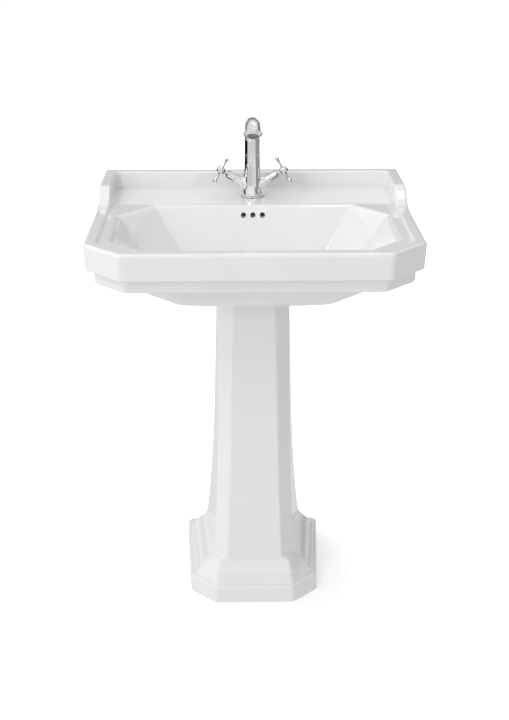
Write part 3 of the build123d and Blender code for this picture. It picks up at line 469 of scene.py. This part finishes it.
def studio_world(strength):
    """White to the camera, soft light that is brighter on the left, and walls for reflections."""
    world = bpy.data.worlds.new("studio")
    bpy.context.scene.world = world
    world.use_nodes = True
    tree = world.node_tree
    tree.nodes.clear()
    output = tree.nodes.new("ShaderNodeOutputWorld")
    path = tree.nodes.new("ShaderNodeLightPath")
    direction = tree.nodes.new("ShaderNodeTexCoord").outputs["Generated"]
    seen = tree.nodes.new("ShaderNodeBackground")
    seen.inputs["Color"].default_value = (1, 1, 1, 1)

    soft = tree.nodes.new("ShaderNodeBackground")
    soft.inputs["Strength"].default_value = strength
    walls = bearing_ramp(tree, direction, SOFT_WALLS)
    overhead = step_along(tree, direction, "Z", 0.35, 0.4)
    tree.links.new(mix_colour(tree, overhead, walls, SOFT_CEILING), soft.inputs["Color"])

    glossy = tree.nodes.new("ShaderNodeBackground")
    reflected = bearing_ramp(tree, direction, MIRROR_WALLS)
    ceiling = step_along(tree, direction, "Z", 0.4, 0.3)
    tree.links.new(mix_colour(tree, ceiling, reflected, MIRROR_CEILING), glossy.inputs["Color"])

    mix_light = tree.nodes.new("ShaderNodeMixShader")
    tree.links.new(path.outputs["Is Glossy Ray"], mix_light.inputs["Fac"])
    tree.links.new(soft.outputs[0], mix_light.inputs[1])
    tree.links.new(glossy.outputs[0], mix_light.inputs[2])
    mix_seen = tree.nodes.new("ShaderNodeMixShader")
    tree.links.new(path.outputs["Is Camera Ray"], mix_seen.inputs["Fac"])
    tree.links.new(mix_light.outputs[0], mix_seen.inputs[1])
    tree.links.new(seen.outputs[0], mix_seen.inputs[2])
    tree.links.new(mix_seen.outputs[0], output.inputs["Surface"])


def soft_light(name, place, target, size, power):
    """A large square light that faces a target."""
    bpy.ops.object.select_all(action="DESELECT")
    bpy.ops.object.light_add(type="AREA", location=place)
    light = bpy.context.object
    light.name = name
    light.data.shape = "RECTANGLE"
    light.data.size, light.data.size_y = size
    light.data.energy = power
    light.rotation_euler = (Vector(target) - Vector(place)).to_track_quat("-Z", "Y").to_euler()


def reflection_card(name, low, high, brightness):
    """An upright card that only mirror-like surfaces see, between two corners in metres."""
    width = Vector((high[0] - low[0], high[1] - low[1], 0)).length
    centre = [(a + b) / 2 for a, b in zip(low, high)]
    turn = Vector((1, 0)).angle_signed(Vector((high[0] - low[0], high[1] - low[1])), 0.0)
    bpy.ops.object.select_all(action="DESELECT")
    bpy.ops.mesh.primitive_plane_add(size=1, location=centre, rotation=(pi / 2, 0, -turn))
    card = bpy.context.object
    card.name = name
    card.scale = (width, high[2] - low[2], 1)
    bpy.ops.object.transform_apply(location=False, rotation=False, scale=True)
    material = bpy.data.materials.new(name)
    material.use_nodes = True
    tree = material.node_tree
    tree.nodes.clear()
    glow = tree.nodes.new("ShaderNodeEmission")
    glow.inputs["Strength"].default_value = brightness
    # The deck's own upward reflections pass through the card
    clear = tree.nodes.new("ShaderNodeBsdfTransparent")
    incoming = tree.nodes.new("ShaderNodeNewGeometry").outputs["Incoming"]
    downward = step_along(tree, incoming, "Z", 0.0, 0.05)
    one_way = tree.nodes.new("ShaderNodeMixShader")
    tree.links.new(downward, one_way.inputs["Fac"])
    tree.links.new(clear.outputs[0], one_way.inputs[1])
    tree.links.new(glow.outputs[0], one_way.inputs[2])
    output = tree.nodes.new("ShaderNodeOutputMaterial")
    tree.links.new(one_way.outputs[0], output.inputs["Surface"])
    card.data.materials.append(material)
    card.visible_camera = False
    card.visible_diffuse = False
    card.visible_shadow = False
    card.visible_transmission = False


class SINK_OT_studio(bpy.types.Operator):
    """Set up the pale floor, the soft light and the camera"""

    bl_idname = "sink.studio"
    bl_label = "Set up the studio"

    def execute(self, context):
        studio = context.scene.sink_studio
        context.scene.view_settings.view_transform = "Standard"
        studio_world(studio.world_light)
        self.lay_floor()
        soft_light("key", (-1.1, -1.3, 2.5), (0, 0, 0.8), (0.5, 0.8), studio.key_light)
        soft_light("overhead", (0.3, 0.5, 2.7), (0, 0, 0.8), (0.9, 0.3), studio.key_light * 0.3)
        self.place_cards()
        self.place_camera(context, studio)
        return {"FINISHED"}

    def place_cards(self):
        """Dark cards left of and behind the tap's column, grey ones on its right."""
        near = TAP_CENTRE[1] - 0.008
        far = TAP_CENTRE[1] + 0.056
        inner = 0.058
        outer = 0.125
        for name, first, second, brightness in (
            ("card_left", (-inner, near), (-inner, far), 0.01),
            ("card_rear_left", (-inner, far), (-0.003, far), 0.01),
            ("card_outer_left", (-outer, near - 0.03), (-outer, far), 0.01),
            ("card_outer_rear", (-outer, far), (-0.06, far), 0.02),
            ("card_rear_right", (0.0, far), (inner, far), 0.35),
            ("card_far_right", (outer, near - 0.03), (outer, far), 0.02),
            ("card_far_rear", (0.062, far), (outer, far), 0.02),
            ("card_right", (inner, far), (inner, near - 0.05), 0.33),
        ):
            reflection_card(name, (*first, CARD_FOOT), (*second, CARD_TOP), brightness)

    def lay_floor(self):
        """A pale floor that fades to plain white away from the sink."""
        bpy.ops.object.select_all(action="DESELECT")
        bpy.ops.mesh.primitive_circle_add(vertices=96, radius=14, fill_type="NGON", location=(0, 0, 0))
        floor = bpy.context.object
        floor.name = "studio_floor"
        material, tree, shader = new_material("studio floor")
        places = object_coordinates(tree)
        reach = tree.nodes.new("ShaderNodeVectorMath")
        reach.operation = "LENGTH"
        tree.links.new(places, reach.inputs[0])
        shader.inputs["Base Color"].default_value = (0.9, 0.9, 0.9, 1)
        shader.inputs["Roughness"].default_value = 0.9
        shader.inputs["Specular IOR Level"].default_value = 0.1
        shader.inputs["Emission Color"].default_value = (1, 1, 1, 1)
        fade = tree.nodes.new("ShaderNodeMapRange")
        fade.inputs["From Min"].default_value = 0.2
        fade.inputs["From Max"].default_value = 0.75
        fade.inputs["To Min"].default_value = 0.3
        fade.inputs["To Max"].default_value = 1.0
        tree.links.new(reach.outputs["Value"], fade.inputs["Value"])
        tree.links.new(fade.outputs["Result"], shader.inputs["Emission Strength"])
        # Light that the floor gives back to the sink is kept apart from how the floor looks
        glow = tree.nodes.new("ShaderNodeEmission")
        glow.inputs["Strength"].default_value = 0.72
        path = tree.nodes.new("ShaderNodeLightPath")
        choose = tree.nodes.new("ShaderNodeMixShader")
        tree.links.new(path.outputs["Is Camera Ray"], choose.inputs["Fac"])
        tree.links.new(glow.outputs[0], choose.inputs[1])
        tree.links.new(shader.outputs[0], choose.inputs[2])
        tree.links.new(choose.outputs[0], tree.nodes["Material Output"].inputs["Surface"])
        floor.data.materials.append(material)

    def place_camera(self, context, studio):
        """A camera in front of the sink, above its rim, looking down at it."""
        bpy.ops.object.select_all(action="DESELECT")
        place = (studio.sideways, BASIN_FRONT - studio.distance, studio.height)
        bpy.ops.object.camera_add(location=place, rotation=(pi / 2 - studio.tilt, 0, -studio.pan))
        camera = context.object
        camera.name = "picture_camera"
        camera.data.lens = studio.lens
        context.scene.camera = camera


class SINK_PT_panel(bpy.types.Panel):
    """The sink's operators and settings"""

    bl_label = "Pedestal sink"
    bl_idname = "SINK_PT_panel"
    bl_space_type = "VIEW_3D"
    bl_region_type = "UI"
    bl_category = "Sink"

    def draw(self, context):
        for operator in STEPS:
            self.layout.operator(operator.bl_idname)
        for settings in (context.scene.sink_finish, context.scene.sink_studio):
            for key in settings.bl_rna.properties.keys()[2:]:
                self.layout.prop(settings, key)


STEPS = (SINK_OT_china, SINK_OT_tap_finish, SINK_OT_plumbing_finish, SINK_OT_threads, SINK_OT_studio)
CLASSES = (SinkFinish, SinkStudio, *STEPS, SINK_PT_panel)


def register():
    for item in CLASSES:
        bpy.utils.register_class(item)
    bpy.types.Scene.sink_finish = bpy.props.PointerProperty(type=SinkFinish)
    bpy.types.Scene.sink_studio = bpy.props.PointerProperty(type=SinkStudio)


def unregister():
    del bpy.types.Scene.sink_studio
    del bpy.types.Scene.sink_finish
    for item in reversed(CLASSES):
        bpy.utils.unregister_class(item)


def main():
    """Register, and build every piece in order."""
    register()
    for step in STEPS:
        group, action = step.bl_idname.split(".")
        getattr(getattr(bpy.ops, group), action)()


if __name__ == "__main__":
    main()
